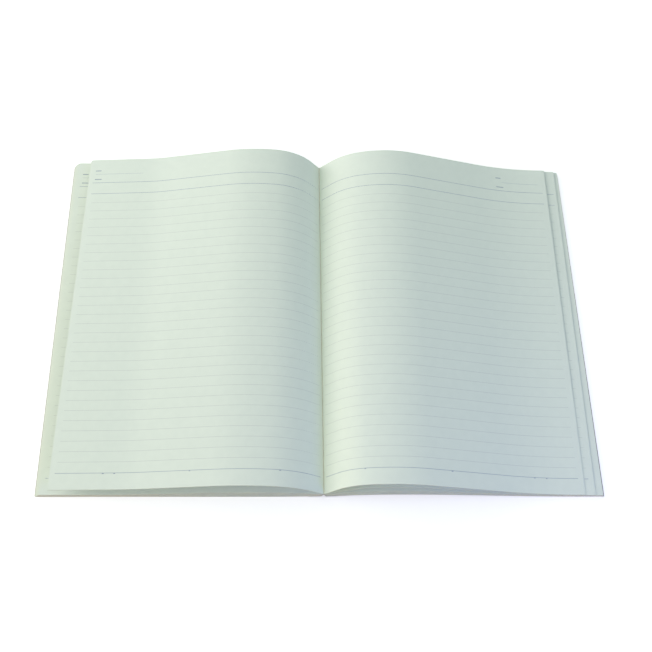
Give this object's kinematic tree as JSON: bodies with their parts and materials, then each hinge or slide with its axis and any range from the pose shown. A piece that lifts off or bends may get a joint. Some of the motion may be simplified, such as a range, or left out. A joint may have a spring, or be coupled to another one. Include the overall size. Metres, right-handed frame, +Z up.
{
  "type": "open composition notebook",
  "caption": "Soft-cover ruled notebook lying open at the middle, with arched page stacks, two card covers and a taped folded spine.",
  "frame": {"origin": "middle of the notebook on the surface it lies on, under the gutter", "axes": "+X across the spread from the front half (left page) to the back half (right page), +Y towards the head of the page, +Z up from the surface it lies on"},
  "size_m": [0.3611, 0.252, 0.0278],
  "materials": {
    "front_cover_card": "matt printed card",
    "back_cover_card": "matt printed card",
    "page_paper": "uncoated pale green writing paper with fine grey and blue ruling",
    "spine_tape_cloth": "matt woven binding tape"
  },
  "bodies": {
    "front_half": {"front_cover": "front_cover_card", "front_pages": "page_paper", "spine_tape": "spine_tape_cloth"},
    "back_half": {"back_cover": "back_cover_card", "back_pages": "page_paper"}
  },
  "joints": [
    {"name": "back_cover_hinge", "type": "hinge", "parent": "front_half", "child": "back_half", "pos_m": [0, 0, 0.0056], "axis": [0, -1, 0], "range_deg": [0, 85], "deforming": ["spine_tape"]}
  ]
}
